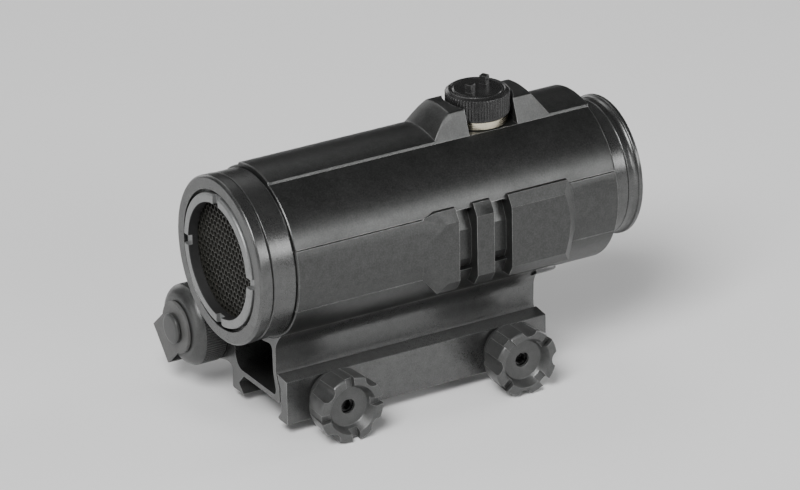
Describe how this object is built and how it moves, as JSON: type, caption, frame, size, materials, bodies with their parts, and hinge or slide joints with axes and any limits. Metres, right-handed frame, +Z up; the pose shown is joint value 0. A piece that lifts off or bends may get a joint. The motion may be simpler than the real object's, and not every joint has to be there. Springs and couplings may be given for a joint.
{
  "type": "finder scope",
  "caption": "Compact tube sight with screw-off honeycomb filter, capped adjustment turrets, side accessory rail, side battery compartment and a rail mount clamped by thumb knobs.",
  "frame": {"origin": "centre of the seat that rests on the top of the accessory rail", "axes": "+X towards the clamp knobs, +Y from the objective towards the eyepiece, +Z up"},
  "size_m": [0.0627, 0.1132, 0.0761],
  "materials": {
    "housing": "bead-blasted and anodised charcoal, semi-matt",
    "ring": "turned and anodised charcoal, satin",
    "filter_ring": "turned and anodised mid grey, satin",
    "black": "black anodised, low sheen",
    "plastic": "moulded black",
    "champagne": "turned and nickel plated, bright with a warm tint",
    "steel": "turned and brushed",
    "knob": "anodised dark grey, satin",
    "rubber": "moulded, matt",
    "glass": "coated optical glass",
    "emitter": "red tinted clear",
    "board": "green solder mask",
    "cell": "plain printed sleeve"
  },
  "bodies": {
    "sight": {"main_housing": "housing", "side_rail_left": "housing", "side_panel_right": "housing", "front_ring": "ring", "objective_bezel": "ring", "front_seal": "rubber", "return_spring": "steel", "eyepiece_ring": "ring", "eyepiece_flange": "ring", "rear_seal": "rubber", "rear_window": "glass", "window_retainer": "black", "elevation_collar": "champagne", "windage_collar": "champagne", "mount_base": "housing", "mount_screw_1": "steel", "mount_screw_2": "steel", "mount_screw_3": "steel", "mount_screw_4": "steel", "clamp_stud_front": "steel", "clamp_stud_rear": "steel", "clamp_spring_front": "steel", "clamp_spring_rear": "steel", "circuit_board": "board", "battery_plug": "plastic", "battery_spring": "steel", "battery_cell": "cell", "tether_screw": "steel"},
    "clamp": {"clamp_plate": "housing"},
    "front_knob": {"clamp_knob_front": "knob"},
    "rear_knob": {"clamp_knob_rear": "knob"},
    "cap_tether": {"tether": "rubber", "cap_stud": "knob"},
    "battery_cap": {"battery_cap": "knob", "battery_cap_gasket": "rubber", "cap_contact": "champagne"},
    "filter_screen": {"honeycomb_screen": "black"},
    "filter_ring": {"filter_ring": "filter_ring"},
    "elevation_seal": {"elevation_seal": "rubber"},
    "elevation_cap": {"elevation_cap": "black"},
    "elevation_dial": {"elevation_dial": "steel"},
    "elevation_plunger": {"elevation_plunger": "steel"},
    "windage_seal": {"windage_seal": "rubber"},
    "windage_cap": {"windage_cap": "black"},
    "windage_dial": {"windage_dial": "steel"},
    "windage_plunger": {"windage_plunger": "steel"},
    "pivot_ring": {"pivot_ring": "steel"},
    "inner_tube": {"inner_tube": "black", "objective_lens": "glass", "lens_retainer": "black", "emitter_block": "plastic", "led": "emitter"},
    "up_button": {"up_button": "rubber"},
    "down_button": {"down_button": "rubber"}
  },
  "joints": [
    {"name": "clamp_slide", "type": "slide", "parent": "sight", "child": "clamp", "axis": [1, 0, 0], "range_m": [0, 0.0032]},
    {"name": "front_knob_turn", "type": "hinge", "parent": "clamp", "child": "front_knob", "pos_m": [0.02, -0.02502, 0.0012], "axis": [1, 0, 0], "range_deg": [0, 1440]},
    {"name": "rear_knob_turn", "type": "hinge", "parent": "clamp", "child": "rear_knob", "pos_m": [0.02, 0.02502, 0.0012], "axis": [1, 0, 0], "range_deg": [0, 1440]},
    {"name": "battery_cap_travel", "type": "slide", "parent": "sight", "child": "cap_tether", "axis": [0, -1, 0], "range_m": [0, 0.006]},
    {"name": "battery_cap_turn", "type": "hinge", "parent": "cap_tether", "child": "battery_cap", "pos_m": [-0.0242, -0.042, 0.0096], "axis": [0, -1, 0], "range_deg": [0, 2160]},
    {"name": "filter_travel", "type": "slide", "parent": "sight", "child": "filter_screen", "axis": [0, -1, 0], "range_m": [0, 0.003]},
    {"name": "filter_turn", "type": "hinge", "parent": "filter_screen", "child": "filter_ring", "pos_m": [0, -0.045, 0.0371], "axis": [0, -1, 0], "range_deg": [0, 1440]},
    {"name": "elevation_cap_travel", "type": "slide", "parent": "sight", "child": "elevation_seal", "axis": [0, 0, 1], "range_m": [0, 0.003]},
    {"name": "elevation_cap_turn", "type": "hinge", "parent": "elevation_seal", "child": "elevation_cap", "pos_m": [0, 0.0268, 0.063], "axis": [0, 0, 1], "range_deg": [0, 1440]},
    {"name": "windage_cap_travel", "type": "slide", "parent": "sight", "child": "windage_seal", "axis": [-1, 0, 0], "range_m": [0, 0.003]},
    {"name": "windage_cap_turn", "type": "hinge", "parent": "windage_seal", "child": "windage_cap", "pos_m": [-0.026, 0.0268, 0.0371], "axis": [-1, 0, 0], "range_deg": [0, 1440]},
    {"name": "elevation_dial_turn", "type": "hinge", "parent": "sight", "child": "elevation_dial", "pos_m": [0, 0.0268, 0.06], "axis": [0, 0, 1], "range_deg": [-600, 600]},
    {"name": "elevation_plunger_travel", "type": "slide", "parent": "sight", "child": "elevation_plunger", "axis": [0, 0, 1], "range_m": [-0.00083, 0.00083]},
    {"name": "windage_dial_turn", "type": "hinge", "parent": "sight", "child": "windage_dial", "pos_m": [-0.023, 0.0268, 0.0371], "axis": [-1, 0, 0], "range_deg": [-600, 600]},
    {"name": "windage_plunger_travel", "type": "slide", "parent": "sight", "child": "windage_plunger", "axis": [-1, 0, 0], "range_m": [-0.00083, 0.00083]},
    {"name": "inner_tube_tilt", "type": "hinge", "parent": "sight", "child": "pivot_ring", "pos_m": [0, -0.0315, 0.0371], "axis": [1, 0, 0], "range_deg": [-0.82, 0.82]},
    {"name": "inner_tube_pan", "type": "hinge", "parent": "pivot_ring", "child": "inner_tube", "pos_m": [0, -0.0315, 0.0371], "axis": [0, 0, 1], "range_deg": [-0.82, 0.82]},
    {"name": "up_button_press", "type": "slide", "parent": "sight", "child": "up_button", "axis": [1, 0, 0], "range_m": [0, 0.0006], "stiffness_N_per_m": 300},
    {"name": "down_button_press", "type": "slide", "parent": "sight", "child": "down_button", "axis": [1, 0, 0], "range_m": [0, 0.0006], "stiffness_N_per_m": 300}
  ],
  "couplings": [
    {"joint": "rear_knob_turn", "follows": "front_knob_turn", "ratio": 1},
    {"joint": "clamp_slide", "follows": "front_knob_turn", "m_per_rad": 0.00012732},
    {"joint": "battery_cap_travel", "follows": "battery_cap_turn", "m_per_rad": 0.00015915},
    {"joint": "filter_travel", "follows": "filter_turn", "m_per_rad": 0.00011936},
    {"joint": "elevation_cap_travel", "follows": "elevation_cap_turn", "m_per_rad": 0.00011936},
    {"joint": "windage_cap_travel", "follows": "windage_cap_turn", "m_per_rad": 0.00011936},
    {"joint": "elevation_plunger_travel", "follows": "elevation_dial_turn", "m_per_rad": 0.00007957},
    {"joint": "inner_tube_tilt", "follows": "elevation_dial_turn", "ratio": 0.0013648},
    {"joint": "windage_plunger_travel", "follows": "windage_dial_turn", "m_per_rad": 0.00007957},
    {"joint": "inner_tube_pan", "follows": "windage_dial_turn", "ratio": 0.0013648}
  ]
}
